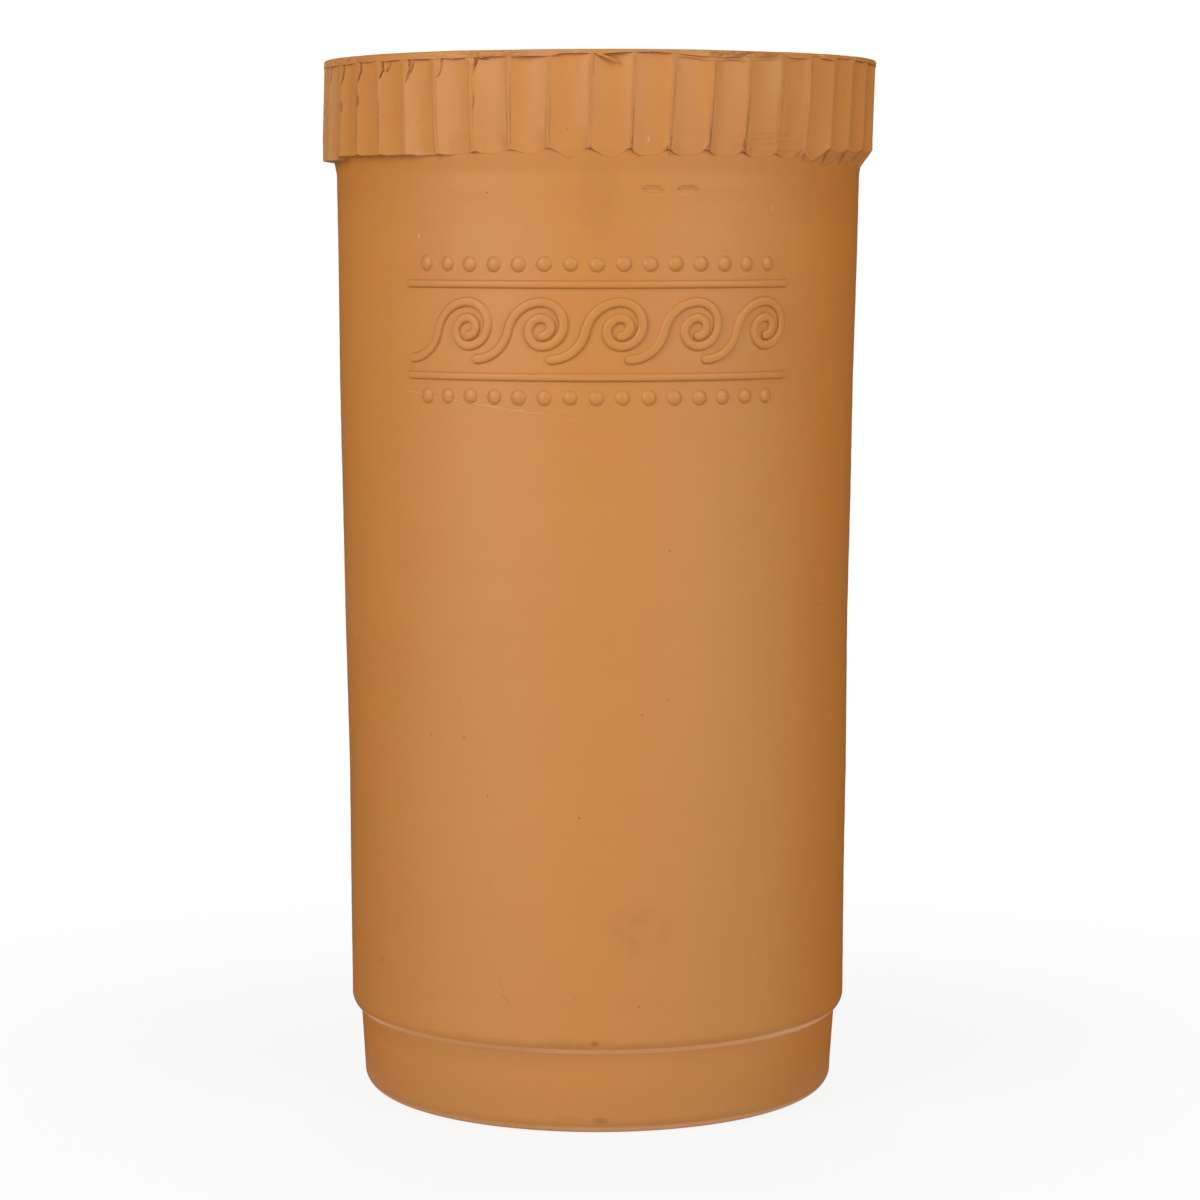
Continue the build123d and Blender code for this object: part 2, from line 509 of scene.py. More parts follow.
# Marks of handling on the wall and foot, the last of them painted shade under the collar in front: angle,
# height, half width in degrees, half height and strength
dirt_and_shade_spots = [
    (-0.9, 22.6, 1.3, 0.9, 0.50),
    (-7.0, 22.4, 8.0, 1.6, 0.14),
    (0.4, 3.6, 2.6, 1.0, 0.45),
    (-7.5, 4.2, 4.0, 0.8, 0.15),
    (-58.0, 36.5, 0.9, 0.5, 0.45),
    # painted shade under the collar in front
    (0.0, 217.0, 5.5, 12.0, 0.11),
]

# Pale flecks on the wall, given in the same way
pale_flecks = [(-41.0, 208.3, 0.28, 0.8, 0.40), (39.1, 214.6, 0.28, 1.3, 0.16)]

# The smudge low on the wall, the chip in the seam and the fleck on the collar, without a strength
wall_smudge = (9.0, 48.5, 9.5, 8.0)
seam_chip = (66.4, 20.3, 0.8, 0.55)
collar_fleck = (9.9, 230.0, 0.30, 0.9)

# Short slanted nicks low on the wall, from one (angle, height) place to another
dark_nicks = [
    ((-22.8, 36.6), (-21.4, 34.2)),
    ((-21.9, 33.4), (-19.6, 30.6)),
    ((-20.6, 38.6), (-20.2, 36.9)),
    ((-6.0, 33.9), (-4.8, 32.4)),
]

# The long pale scratch on the wall and the faint line beside the dents, given in the same way
long_scratch_ends = ((-48.0, 173.3), (-2.0, 167.0))
faint_line_ends = ((21.3, 218.7), (31.9, 218.7))

# Two pressed dents under the collar: the angle of the left tip of each
dent_tips = (9.0, 16.5)
dent_width = 4.4
dent_height = 218.8
dent_half_height = 0.8
dent_depth = 0.14


def turned_clay():
    """Wall, foot and ornament: burnished on the wheel, with handling marks on the front, painted sheen in
    front, painted shade on the sides and in crevices, and a painted reflection of the floor along the seam
    and base edge.
    """
    material, bench = new_material("turned_clay")
    place, height, turn = clay_places(bench)
    colour, lines, fine = clay_ground(bench, place)
    shade_and_dirt = bench.mark("shade_and_dirt")
    inside = bench.mark("inside")
    edge_mark = bench.mark("edge_mark")

    # Painted sheen: paler low in front. Painted shade: ruddier and darker towards both sides, and under the
    # collar on the left
    colour = bench.mix(height.step(215, 90) * abs(turn).step(64, 36) * 0.6, colour, front_sheen_paint)
    right_side = towards_side(turn, 36, 70) * (0.76 + height.step(196, 222) * 0.16)
    left_side = towards_side(turn, -36, -70) * (0.32 + height.step(210, 224) * 0.35)
    colour = bench.mix(right_side + left_side, colour, side_shade_paint)

    # Dirt from handling, painted shade under the collar in front, and the chip
    smudge_and_shade = soft_spot(turn, height, *wall_smudge) * bench.noise(place, 5).step(0.30, 0.70) * 0.16
    for *spot, strength in dirt_and_shade_spots:
        smudge_and_shade = smudge_and_shade + soft_spot(turn, height, *spot) * strength
    colour = bench.mix(smudge_and_shade * bench.noise(place, 1.6).step(0.20, 0.55), colour, dirt_and_shade_brown)
    chip = soft_spot(turn, height, *seam_chip)
    colour = bench.mix(chip * 0.8, colour, chip_red)

    # Scratches, nicks, painted shade along the dents, flecks and grit
    long_scratch = scratch_line(turn, height, *long_scratch_ends, 0.22)
    colour = bench.mix(long_scratch * bench.noise(place, 6).step(0.35, 0.6) * 0.45, colour, clay_scratch)
    nick = 0
    for first, last in dark_nicks:
        nick = nick + scratch_line(turn, height, first, last, 0.25)
    colour = bench.mix(nick * 0.30, colour, dirt_and_shade_brown)
    pressed = scratch_line(turn, height, *faint_line_ends, 0.12) * 0.3
    for tip in dent_tips:
        pressed = pressed + dent_shade_lines(turn, height, tip)
    colour = bench.mix(pressed * 0.46, colour, dirt_and_shade_brown)
    for *spot, strength in pale_flecks:
        colour = bench.mix(soft_spot(turn, height, *spot) * strength, colour, lime_grit)
    dark = grit(bench, place, 7.0, 0.35, 3.1, edge=0.055, core=0.02)
    colour = bench.mix(dark * 0.55, colour, burnt_grit)
    pale = grit(bench, place, 11.0, 0.16, 9.4, edge=0.024, core=0.010)
    colour = bench.mix(pale * 0.6, colour, lime_grit)

    # Water stains in the well, painted shade and darker marks in the crevices, and a painted reflection of
    # the pale floor along the seam and the base edge
    water = bench.noise(place, 26, (1, 1, 0.6), detail=4.0, roughness=0.6)
    colour = bench.mix(inside * water.step(0.42, 0.62) * 0.30, colour, clay_deep)
    # painted shade: darker in crevices, under the collar, under the shoulder and round the ornament's foot
    colour = bench.mix(shade_and_dirt * 0.75, colour, dirt_and_shade_brown)
    # painted reflection of the pale floor, with a share that varies round the vessel
    left_reflection_share = turn.step(-52, -64) * 0.4 - turn.step(-8, -22) * 0.22
    reflection_share = bench.noise(place, 4).step(0.2, 0.7) * 0.12 + turn.step(35, 60) * 0.2 + left_reflection_share + 0.68
    colour = bench.mix(edge_mark * reflection_share, colour, floor_reflection_paint)

    roughness = 0.52 + (fine - 0.5) * 0.10 + shade_and_dirt * 0.2 + inside * 0.15
    bump_height = lines * 0.020 + fine * 0.020 - dark * 0.05 - long_scratch * 0.04 - nick * 0.06 - chip * 0.2
    finish_clay(bench, colour, roughness, bump_height)
    return material


def cut_clay():
    """Collar and lip: cut and pressed by hand, drier, with dirt along the ridges, painted light towards its
    sides, painted shade along its edges and in its cuts, and torn clay.
    """
    material, bench = new_material("cut_clay")
    place, height, turn = clay_places(bench)
    colour, _, fine = clay_ground(bench, place)
    shade_and_dirt = bench.mark("shade_and_dirt")
    torn = bench.mark("torn")
    dirt = bench.mark("dirt")

    # Painted light: ruddier and brighter towards the right edge and paler towards the left edge. Then the
    # drag of the tool, and smears low on the right
    colour = bench.mix(towards_side(turn, 58, 80) * 0.6, colour, collar_edge_light_paint)
    colour = bench.mix(towards_side(turn, -58, -80) * 0.45, colour, clay_pale)
    drag = bench.noise(place, 0.8, (1, 1, 14), detail=3.0, roughness=0.6)
    colour = bench.mix(drag.step(0.55, 0.80) * 0.14, colour, clay_deep)
    smear_zone = turn.step(20, 34) * turn.step(88, 74) * height.step(234, 230)
    smear = bench.noise(place, 0.7, (16, 16, 1), detail=2.0).step(0.50, 0.72) * smear_zone
    colour = bench.mix(smear * 0.28, colour, clay_deep)

    # Grit
    dark = grit(bench, place, 6.0, 0.4, 5.7, edge=0.06, core=0.02)
    colour = bench.mix(dark * 0.5, colour, burnt_grit)
    pale = grit(bench, place, 9.0, 0.18, 2.2, edge=0.026, core=0.010)
    colour = bench.mix(pale * 0.5, colour, lime_grit)

    # Torn clay, the fleck, painted shade in cuts, slits, creases and under edges, and dirt along the ridges
    rough_grain = bench.noise(place, 0.9, (2.5, 2.5, 1), detail=4.0, roughness=0.65)
    colour = bench.mix(torn * rough_grain.step(0.38, 0.62) * 0.70, colour, torn_deep)
    fleck = soft_spot(turn, height, *collar_fleck) * rough_grain.step(0.30, 0.60)
    colour = bench.mix(fleck * 0.30, colour, lime_grit)
    shade_patches = bench.noise(place, 2.2, (1, 1, 1.8), detail=3.0).step(0.20, 0.62)
    crumbs = bench.noise(place, 0.6, (1, 1, 1.7), detail=3.0, roughness=0.6).step(0.40, 0.58)
    # painted shade, patchy, darkest in the deepest cuts
    deep_cut = shade_and_dirt.step(0.7, 1) * 0.2
    colour = bench.mix(shade_and_dirt * (shade_patches * 0.55 + 0.35) + deep_cut, colour, dirt_and_shade_brown)
    colour = bench.mix(dirt * crumbs * 0.85, colour, dirt_and_shade_brown)

    roughness = 0.54 + (fine - 0.5) * 0.12 + shade_and_dirt * 0.2 + torn * 0.15
    relief = drag * 0.030 + fine * 0.025 + smear * 0.06 - dark * 0.05
    bump_height = relief + torn * rough_grain * 0.15 + dirt * crumbs * 0.10
    finish_clay(bench, colour, roughness, bump_height)
    return material


# Wall
def wall_radius(height):
    share = np.clip((height - shoulder_top) / (cove_foot - shoulder_top), 0, 1)
    return body_radius + wall_flare * share**flare_power


def wall_face(height):
    """Radius of the wall's outside with the small cove that carries the collar."""
    return wall_radius(height) + cove_reach * smooth_step(cove_foot, cove_top + 2, height)


def front_flare(turn, height):
    """How far the wall's clay is drawn out in front to meet the collar's tongues."""
    in_front = band(from_front(turn), -48, -30, 48, 58)
    return front_flare_reach * in_front * smooth_step(210, 225.5, height)


def wall_swell(turn, height):
    """The small hand-made unevenness of the wall's outside."""
    broad = wall_swell_depth * unevenness(turn, height, 11, 4, 90)
    rings = wall_ring_depth * unevenness(turn, height, 12, 1, 7)
    return broad + rings


def stamp_dents(turn, height):
    """Two small flat-bottomed oval dents under the collar, 1 inside."""
    dents = 0
    for tip in dent_tips:
        across = (turn - tip - dent_width / 2) / (dent_width / 2)
        up = (height - dent_height) / dent_half_height
        dents = dents + smooth_step(1.25, 0.8, across**2 + up**2)
    return dents


def seam_radius(height):
    """Radius of the small fillet of clay between the shoulder and the foot."""
    rise = np.clip((height - fillet_foot) / fillet_radius, 0, 1)
    return frame_foot_radius + fillet_radius * (1 - np.sqrt(1 - rise**2))


def turned_wall(clay):
    front = graded((-wall_front,), (wall_front, 0.45))
    back = graded((wall_front,), (360 - wall_front, 1.6))[1:-1]
    turn = np.concatenate([front, back])[None, :]
    place = from_front(turn)
    neck_radius = wall_radius(cove_top)
    rebate_radius = spigot_radius + slip_film
    outer_heights = graded((shoulder_top,), (210, 1.6), (cove_foot, 0.45), (behind_collar, 0.45))[1:]
    inner_heights = graded((cove_foot + 24,), (cove_foot, 4), (spigot_top, 1.7))

    # The outline goes from the step up the outside, over the top and down the inside
    outer = [(seam_radius(height), height) for height in np.linspace(step_height, fillet_top, 5)[:-1]]
    for bend in np.linspace(math.radians(shoulder_bend), 0, 11):
        radius = body_radius - shoulder_radius * (1 - math.cos(bend))
        outer.append((radius, shoulder_top - shoulder_radius * math.sin(bend)))
    outer += [(wall_face(height), height) for height in outer_heights]
    top = [(neck_radius, behind_collar + 0.4), (neck_radius, lip_underside)]
    inner = [(neck_radius - wall_thickness, lip_underside)]
    inner += [(max(well_radius, wall_radius(height) - wall_thickness), height) for height in inner_heights]
    rebate = [(rebate_radius, spigot_top), (rebate_radius, step_height)]
    radius, height, outside, _, inside, _ = outline_of(outer, top, inner, rebate)

    # Unevenness, flare and dents outside, throwing rings inside
    fade = smooth_step(step_height, shoulder_top + 8, height)
    flare = front_flare(turn, height) * smooth_step(230.6, 228.2, height)
    flare = flare - dent_depth * stamp_dents(turn, height)
    swell = fade * wall_swell(turn, height) + flare
    ring_phase = 2 * math.pi * (height / throwing_ring_pitch + turn / 360)
    rings = throwing_ring_depth * (np.sin(ring_phase) + 0.6 * unevenness(turn, height, 21, 3, 14))
    rings = rings * band(height, spigot_top + 1, spigot_top + 12, 236, lip_underside)
    radius = radius + outside * swell + inside * rings

    # Painted shade under the collar towards the sides and low on the left, and painted reflection of the pale
    # floor along the seam
    seam_line = seam_line_height + 0.3 * smooth_step(30, 60, np.abs(place))
    under_collar = 0.14 * smooth_step(205, 222, height) * smooth_step(28, 50, np.abs(place))
    low_on_left = 0.07 * smooth_step(180, 120, height) * smooth_step(-34, -50, place)
    marks = {
        "shade_and_dirt": outside * (under_collar + low_on_left),
        "inside": inside,
        "edge_mark": outside * smooth_step(seam_line, seam_line - seam_line_width, height),
    }
    add_turned("turned_wall", turned(turn, radius, height), clay, "wall_tube", marks)


# Foot
def turned_foot(clay):
    turn = np.arange(0, 360, 1.0)[None, :]
    place = from_front(turn)
    quarter = np.linspace(0, math.pi / 2, 15)[1:]
    rest_outer = frame_foot_radius - foot_batter - base_edge_radius
    rest_inner = rest_outer - rest_ring_width
    recess_edge = rest_inner - base_recess
    floor_edge = well_radius - well_corner_radius

    # The well goes from the middle of its floor outwards and up to the top of the spigot
    well = [(radius, well_floor) for radius in graded((middle_radius,), (floor_edge, 2.0))]
    for bend in quarter:
        corner_height = well_floor + well_corner_radius * (1 - math.cos(bend))
        well.append((floor_edge + well_corner_radius * math.sin(bend), corner_height))
    well.append((well_radius, spigot_top))

    # The outside goes down the spigot and the side, and in under the foot
    side_heights = graded((step_height,), (fillet_foot, 0.1), (fillet_foot - 1, 0.3), (base_edge_radius, 1.4))
    outer = [(spigot_radius, spigot_top), (spigot_radius, step_height)]
    for height in side_heights:
        share = (step_height - height) / (step_height - base_edge_radius)
        outer.append((seam_radius(height) - foot_batter * share, height))
    for bend in quarter:
        edge_height = base_edge_radius * (1 - math.sin(bend))
        outer.append((rest_outer + base_edge_radius * math.cos(bend), edge_height))
    outer += [(radius, 0.0) for radius in graded((rest_outer,), (rest_inner, 1.5))[1:]]
    outer += [(radius, base_recess) for radius in graded((recess_edge,), (middle_radius, 2.0))]
    radius, height, not_well, inside = outline_of(outer[::-1], well[::-1])

    # Unevenness of the side, and turning rings on the floor of the well and under the foot
    on_side = band(height, 2.5, 6, step_height - 2, step_height) * not_well * (radius > spigot_radius + 1)
    on_floor = inside * smooth_step(floor_edge, floor_edge - 4, radius)
    on_recess = (height == base_recess) * smooth_step(recess_edge, rest_inner - 5, radius)
    ring_phase = 2 * math.pi * (radius / turning_ring_pitch + turn / 360)
    ring_depth = on_floor * floor_ring_depth + on_recess * recess_ring_depth
    uneven_radius = radius + foot_swell_depth * on_side * unevenness(turn, height, 31, 4, 60)
    uneven_height = height + ring_depth * np.sin(ring_phase) * smooth_step(middle_radius, 6, radius)

    outside = not_well * (radius > rest_outer - 1)
    # A darker line along the base edge and a darker band above it, painted shade under the shoulder on the
    # left and less in front, and painted reflection of the pale floor at the seam and on the base edge
    in_front = 0.06 + 0.12 * smooth_step(40, 20, np.abs(place))
    base_line = in_front * band(height, base_line_low, 2.3, 2.6, base_line_high)
    base_darkening = 0.16 * band(height, 2.3, 3.4, 4, base_darkening_top)
    under_seam = smooth_step(fillet_foot - 5.5, fillet_foot - 0.5, height)
    seam_shade = 0.18 * under_seam * smooth_step(10, -20, place)
    edge_mark = 0.2 * smooth_step(fillet_foot, step_height, height) + 0.85 * smooth_step(2.2, 1.4, height)
    marks = {
        "shade_and_dirt": outside * (base_line + base_darkening + seam_shade),
        "inside": inside,
        "edge_mark": outside * edge_mark,
    }
    rings = turned(turn, uneven_radius, uneven_height)
    add_turned("turned_foot", rings, clay, "foot_cup", marks, meets=False)


# Lip
def lip_lower_line(turn):
    """Height of the lip's lower edge: thick on the left, thin in front, ragged in places."""
    turns = (
        -180, -120, -70, -61, -52, -31, -22, -13.5, -9, -7.6, -3, 0, 5, 10, 13, 20, 24, 34,
        39.5, 41, 46, 47.2, 49.2, 50.8, 54, 55.4, 63, 65, 75, 90, 180,
    )
    heights = (
        248.2, 248.3, 247.95, 248.08, 248.26, 248.2, 248.45, 248.43, 248.5, 249.03, 249.0, 248.8,
        249.2, 249.4, 249.1, 248.5, 248.3, 248.6, 249.1, 248.5, 248.75, 249.2, 249.25, 248.8,
        248.5, 249.1, 249.25, 248.9, 248.8, 248.5, 248.2,
    )
    ragged = 0.07 * unevenness(turn, 0, 41, 60, 10) + 0.05 * unevenness(turn, 0, 42, 150, 10)
    return np.clip(np.interp(from_front(turn), turns, heights) + ragged, 247.6, total_height - 0.55)


def lip_bites(turn):
    """Small bites out of the lip's outer edge, in mm, at (angle, half width, depth)."""
    places = [
        (-58.0, 1.6, 0.35), (-63.0, 1.2, 0.30), (-6.0, 2.2, 0.35), (11.0, 1.8, 0.25), (30.5, 1.2, 0.30),
        (49.5, 1.6, 0.55), (58.5, 1.4, 0.40), (62.5, 1.6, 0.45), (76.0, 2.6, 0.20), (84.0, 2.0, 0.10),
    ]
    draw = np.random.default_rng(43)
    for _ in range(back_bites):
        places.append((draw.uniform(95, 290), draw.uniform(0.8, 2.4), draw.uniform(0.15, 0.55)))
    bitten = 0
    for at_turn, half_width, depth in places:
        away = np.abs(from_front(turn - at_turn))
        bitten = bitten + depth * smooth_step(half_width, half_width * 0.4, away)
    return bitten


def worn_stretch(turn):
    """1 along the stretches where the lip's edge is crumbled."""
    place = from_front(turn)
    crumbled = band(place, 21, 23, 38, 41)
    flaked = 0.7 * band(place, -29, -26, -17, -12)
    left_top = 0.35 * band(place, -76, -70, -55, -48)
    right_end = 0.2 * smooth_step(46, 49, place) + 0.2 * smooth_step(70, 80, place)
    back = 0.5 * smooth_step(0.2, 0.8, unevenness(turn, 0, 44, 9, 10))
    return np.clip(np.where(np.abs(place) > 95, back, crumbled + flaked + left_top + right_end), 0, 1)


def flat_lip(clay):
    turn = np.arange(0, 360, 360 / lip_columns)[None, :]
    place = from_front(turn)
    lower = lip_lower_line(turn)
    edge_mark = worn_stretch(turn)
    neck_radius = wall_radius(cove_top)
    inner_radius = neck_radius - wall_thickness
    outer_radius = ridge_radius + lip_overhang - lip_bites(turn)
    sagged = 0.05 * edge_mark + 0.14 * band(place, -130, -100, -70, -45)
    top = total_height - lip_top_room - lip_sway * np.abs(unevenness(turn, 0, 45, 7, 10)) - sagged
    shaded = 0.35 + 0.4 * smooth_step(38, 42, place) - 0.2 * smooth_step(-35, -50, place)
    bend = np.linspace(0, math.pi / 2, 5)
    rows = []

    # The outline goes up the outer edge, across the flat top, and down into the mouth
    for share in np.linspace(0, 1, 8):
        height = lower + share * (top - lip_edge_radius - lower)
        grain = unevenness(turn, height, 46, 40, 0.9)
        crumble = unevenness(turn, height, 47, 220, 0.8)
        radius = outer_radius + 0.05 * grain + edge_mark * 0.16 * crumble - 0.10 * edge_mark
        shadow = np.maximum(shaded * (share == 0), 0.45 * edge_mark * smooth_step(-0.2, 0.9, crumble))
        rows.append((np.minimum(radius, ridge_radius + 0.3), height, edge_mark, shadow))
    for angle in bend[1:]:
        radius = outer_radius - lip_edge_radius * (1 - math.cos(angle)) - 0.08 * edge_mark
        height = top - lip_edge_radius * (1 - math.sin(angle))
        rows.append((radius + 0.04 * unevenness(turn, angle, 48, 90, 3), height, edge_mark, 0.0))
    for share in np.linspace(0, 1, 12)[1:-1]:
        radius = outer_radius - lip_edge_radius + share * (inner_radius + 2 * lip_edge_radius - outer_radius)
        dip = 0.12 * np.abs(unevenness(turn, share * 12, 49, 14, 9)) * math.sin(math.pi * share)
        rows.append((radius, top - dip, 0.3 * edge_mark, 0.0))
    for angle in bend:
        radius = inner_radius + lip_edge_radius * (1 - math.sin(angle))
        height = top - lip_edge_radius * (1 - math.cos(angle))
        rows.append((radius, height, 0.0, 0.0))
    rows.append((inner_radius, lip_underside, 0.0, 0.0))
    rows.append((neck_radius - 1.0, lip_underside, 0.0, 0.0))
    rows.append((collar_back_radius + 0.6, lower, 0.0, 0.0))

    radius, height, torn, shade_and_dirt = (
        np.vstack([np.broadcast_to(value, turn.shape) for value in column]) for column in zip(*rows)
    )
    marks = {"torn": torn, "shade_and_dirt": shade_and_dirt, "dirt": np.zeros_like(torn)}
    add_turned("flat_lip", turned(turn, radius, height), clay, "rim_lip", marks)


# Collar
# How far ridges at the front stand from even spacing, in degrees, by their number from the first ridge
ridge_shifts = {
    -9: 0.2, -8: 0.6, -7: 0.6, -6: 0.5, -5: 0.3, -4: 0.2, -3: 0.3, -2: 0.1, -1: -0.1, 0: 0.0, 1: 0.0,
    2: -0.3, 3: -0.2, 4: -0.4, 5: -0.4, 6: -0.4, 7: -0.9, 8: -1.2, 9: -1.0,
}

# Torn clay that hangs from the lip beside a ridge: how far it reaches over the flute, how far it lifts off it
lip_flaps = {
    -10: (0.7, 0.35), -9: (0.9, 0.42), -8: (1.3, 0.47), -7: (1.1, 0.42), -6: (1.2, 0.42),
    -5: (1.0, 0.25), -4: (1.1, 0.20), -3: (0.3, 0.25), -2: (0.2, 0.15),
}
flap_height = 4.9

# Torn clay half way up a ridge: its upper and lower end and its reach
ridge_tears = {
    -10: (240.0, 236.5, 0.35), -9: (238.4, 235.6, 0.50), -8: (240.6, 236.4, 0.60), -7: (240.7, 238.2, 0.42),
    -3: (240.6, 236.2, 0.20), 12: (242.0, 236.0, 0.3), 19: (240.0, 233.0, 0.3), 27: (243.0, 238.0, 0.3),
}

# How far the square lower edge is lifted on the right of a ridge
edge_lifts = {-7: 0.25, -6: 0.20, -5: 0.08, -4: 0.12, -3: 0.2}

# Cuts: (ridge number, mm to its right, height) at both ends, then half width, depth and darkness of the
# painted shade in it
collar_cuts = [
    (-9, 0.6, 243.0, 0.6, 227.0, 0.32, 0.00, 0.5),
    (-8, 0.6, 244.0, 0.6, 226.8, 0.32, 0.00, 0.8),
    (-7, 0.5, 244.5, 0.5, 226.8, 0.27, 0.00, 0.9),
    (-6, 0.5, 240.0, 0.5, 226.8, 0.22, 0.00, 0.8),
    (-5, 0.5, 243.0, 0.5, 227.0, 0.17, 0.00, 0.5),
    (-6, 4.7, 247.7, 2.7, 245.6, 0.26, 0.50, 1.0),
    (-5, 2.8, 247.5, 2.0, 245.3, 0.22, 0.40, 0.9),
    (-5, 2.0, 245.3, 1.2, 244.0, 0.12, 0.10, 0.4),
    (-3, 1.6, 247.9, 0.7, 245.9, 0.24, 0.40, 0.8),
    (-3, 1.6, 248.2, 4.2, 247.9, 0.20, 0.30, 0.7),
    (-4, 0.5, 244.5, 0.4, 227.6, 0.10, 0.08, 0.5),
    (-3, 0.5, 243.0, 0.4, 229.5, 0.10, 0.08, 0.5),
    (-2, -0.5, 241.0, -0.5, 228.2, 0.11, 0.10, 0.5),
    (-2, 0.5, 242.0, 0.4, 229.0, 0.13, 0.12, 0.7),
    (-1, -0.5, 237.0, -0.5, 228.2, 0.11, 0.10, 0.5),
    (-1, 0.5, 239.0, 0.4, 228.6, 0.12, 0.10, 0.6),
    (0, -0.5, 247.5, -0.5, 241.0, 0.10, 0.08, 0.4),
    (0, 0.6, 248.0, 0.5, 244.0, 0.12, 0.10, 0.5),
    (1, 0.5, 238.0, 0.4, 228.0, 0.13, 0.10, 0.6),
    (2, 0.5, 245.0, 0.4, 228.0, 0.12, 0.10, 0.5),
    (3, 0.5, 246.5, 0.5, 227.0, 0.13, 0.10, 0.6),
    (5, -0.6, 242.0, -0.5, 229.0, 0.13, 0.08, 0.4),
]

# Dirt caught along the ridges: (ridge number, mm to its right, height) at both ends, then half width
collar_dirt = [
    (0, 0.1, 228.6, 0.2, 227.6, 0.30),
    (1, 0.3, 230.5, 0.0, 227.6, 0.22),
    (2, 0.4, 232.0, 0.2, 227.2, 0.26),
    (2, -0.3, 228.6, -1.6, 226.6, 0.32),
    (2, -2.8, 226.5, -3.5, 225.9, 0.26),
    (3, 0.4, 235.0, 0.3, 227.0, 0.30),
    (3, 0.1, 229.0, -1.2, 226.7, 0.42),
    (3, 7.0, 226.0, 6.2, 225.2, 0.24),
    (4, 0.4, 240.0, 0.4, 226.0, 0.26),
    (4, -0.1, 230.0, -0.3, 226.2, 0.50),
    (5, 0.2, 228.0, -0.6, 226.6, 0.25),
]


def collar_lower_line(turn, share):
    """Height of the collar's lower edge, at shares of the way across a flute. It is cut square on the left,
    hangs in tongues between the ridges in front and is drawn down onto the wall elsewhere."""
    place = from_front(turn)
    turns = (-180, -112, -102, -67.4, -66.6, -53, -36, -25, -18, -10, 7, 23, 39, 50, 60, 100, 180)
    ridge_ends = (
        223.7, 224.6, 225.75, 225.75, 226.65, 226.55, 226.5, 227.1, 227.6,
        228.0, 227.8, 227.6, 226.9, 224.4, 224.0, 224.4, 223.7,
    )
    drop = np.interp(place, (-36, -25, -14, -6, 4, 10, 34, 50), (0, 0.5, 1.4, 2.25, 2.3, 1.5, 1.2, 0))
    flatness = smooth_step(4, 8, place)
    tip = 0.56 - 0.11 * flatness
    half_width = np.where(share < tip, 0.51 - 0.09 * flatness, 0.36 + 0.12 * flatness)
    tongue = np.clip(1 - np.abs((share - tip) / half_width) ** (1.4 + 1.6 * flatness), 0, 1)
    ragged = 0.05 * unevenness(turn, 0, 57, 150, 10)
    return np.interp(place, turns, ridge_ends) - drop * tongue + ragged


def bevel_height(turn):
    """How far up the hollow bevel under the flutes reaches: hardly at all on the left and in front."""
    turns = (-180, -112, -102, 39, 50, 60, 80, 100, 180)
    return np.interp(from_front(turn), turns, (4.3, 2.6, 0.22, 0.22, 4.2, 4.6, 4.6, 4.5, 4.3))


def ridge_slant(turn):
    """How far the foot of a ridge stands to the right of its top, in mm round the collar."""
    turns = (-100, -75, -50, -42, -26, -10, 6, 22, 31, 39, 47, 56, 75, 100)
    slants = (0, 0, 0.75, 1.0, 0.6, 0.05, 0, -0.6, -0.2, 0.5, 0.2, -1.2, -1.2, 0)
    return np.interp(from_front(turn), turns, slants)


def eased(share):
    """A share of the way that starts and ends slowly, so that points crowd at both ends."""
    return share - 0.55 * np.sin(2 * math.pi * share) / (2 * math.pi)


def ridge_plan():
    """Place, size and torn clay of each ridge, and of the flute on its right, by number from the front."""
    draw = np.random.default_rng(51)
    number = np.arange(flute_count)
    half_count = flute_count // 2
    plan = SimpleNamespace()
    plan.at_front = np.abs((number + half_count) % flute_count - half_count + 0.5) < front_flutes
    shift = draw.normal(0, 0.22, flute_count)
    plan.depth = flute_depth * draw.uniform(0.9, 1.1, flute_count)
    plan.half_width = draw.uniform(0.18, 0.40, flute_count)
    plan.flap = draw.uniform(0.0, 0.9, flute_count) * (1 - plan.at_front)
    plan.lift = np.full(flute_count, 0.3)
    plan.flap_height = flap_height * draw.uniform(0.85, 1.1, flute_count)
    plan.tear_top = np.full(flute_count, 241.0)
    plan.tear_foot = np.full(flute_count, 236.0)
    plan.tear_reach = np.zeros(flute_count)
    plan.edge_lift = np.zeros(flute_count)
    for ridge, degrees in ridge_shifts.items():
        shift[ridge] = degrees
    for ridge, (reach, stand_off) in lip_flaps.items():
        plan.flap[ridge] = reach
        plan.lift[ridge] = stand_off
    for ridge, (top, foot, reach) in ridge_tears.items():
        plan.tear_top[ridge] = top
        plan.tear_foot[ridge] = foot
        plan.tear_reach[ridge] = reach
    for ridge, rise in edge_lifts.items():
        plan.edge_lift[ridge] = rise
    plan.turn = first_ridge + 360 / flute_count * number + shift
    plan.pitch = np.diff(np.append(plan.turn, plan.turn[0] + 360))
    return plan


